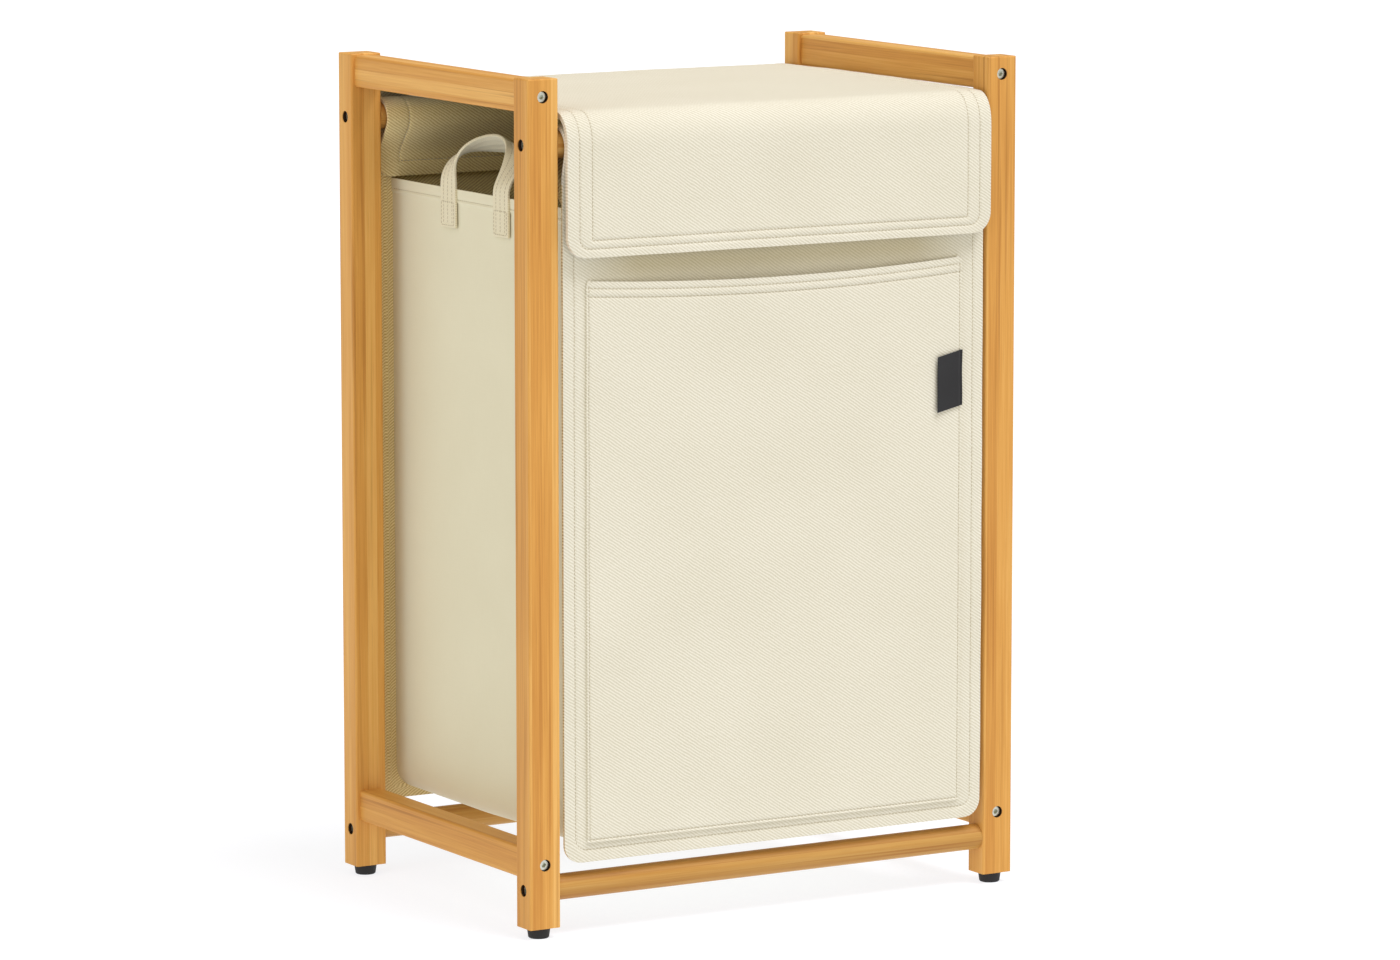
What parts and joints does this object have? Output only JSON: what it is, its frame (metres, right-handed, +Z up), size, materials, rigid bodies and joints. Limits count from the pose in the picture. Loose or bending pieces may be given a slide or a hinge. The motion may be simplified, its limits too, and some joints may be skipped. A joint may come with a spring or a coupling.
{
  "type": "laundry hamper",
  "caption": "Bamboo-framed laundry hamper with a hanging canvas bag, an open front pocket, side strap handles and a fold-back canvas lid with a front flap.",
  "frame": {"origin": "on the floor, below the middle of the hamper's box", "axes": "+X to the right seen from the front, +Y to the back, +Z up"},
  "size_m": [0.48, 0.3534, 0.72],
  "materials": {
    "bamboo": "clear satin lacquer over laminated bamboo strips",
    "beech": "bare turned wood",
    "zinc": "bright zinc plate",
    "foot_rubber": "moulded, matt",
    "canvas": "herringbone twill, doubled and stitched",
    "lining": "plain weave, smooth",
    "webbing": "folded canvas strap with stitched rows",
    "tape": "hook-and-loop tape",
    "board": "cloth-covered board",
    "label": "plain black woven satin"
  },
  "bodies": {
    "root": {"front_left_leg": "bamboo", "front_right_leg": "bamboo", "rear_left_leg": "bamboo", "rear_right_leg": "bamboo", "left_top_rail": "bamboo", "right_top_rail": "bamboo", "left_bottom_rail": "bamboo", "right_bottom_rail": "bamboo", "front_top_dowel": "bamboo", "rear_top_dowel": "bamboo", "front_bottom_dowel": "bamboo", "rear_bottom_dowel": "bamboo", "rail_bolts": "zinc", "dowel_bolts": "zinc", "rail_inserts": "zinc", "dowel_inserts": "zinc", "foot_screws": "zinc", "locating_pins": "beech", "front_left_foot": "foot_rubber", "front_right_foot": "foot_rubber", "rear_left_foot": "foot_rubber", "rear_right_foot": "foot_rubber", "front_panel": "canvas", "front_loop": "canvas", "rear_panel": "canvas", "rear_loop": "canvas", "front_pocket": "canvas", "lid_rear_seam": "canvas", "loop_tapes": "tape", "hook_tapes": "tape", "left_gusset": "lining", "right_gusset": "lining", "bottom_gusset": "lining", "bottom_board": "board", "side_label": "label", "left_handle_ends": "webbing", "right_handle_ends": "webbing"},
    "lid": {"lid_top": "canvas"},
    "lid_flap": {"lid_front_flap": "canvas"},
    "left_handle": {"left_handle": "webbing"},
    "right_handle": {"right_handle": "webbing"}
  },
  "joints": [
    {"name": "lid_hinge", "type": "hinge", "parent": "root", "child": "lid", "pos_m": [0, 0.1767, 0.6812], "axis": [-1, 0, 0], "range_deg": [0, 230]},
    {"name": "flap_fold", "type": "hinge", "parent": "lid", "child": "lid_flap", "pos_m": [0, -0.154, 0.6922], "axis": [-1, 0, 0], "range_deg": [0, 150]},
    {"name": "left_handle_swing", "type": "hinge", "parent": "root", "child": "left_handle", "pos_m": [-0.1914, 0.012, 0.6105], "axis": [0, 1, 0], "range_deg": [-135, 75]},
    {"name": "right_handle_swing", "type": "hinge", "parent": "root", "child": "right_handle", "pos_m": [0.1914, 0.012, 0.6105], "axis": [0, -1, 0], "range_deg": [-135, 75]}
  ]
}
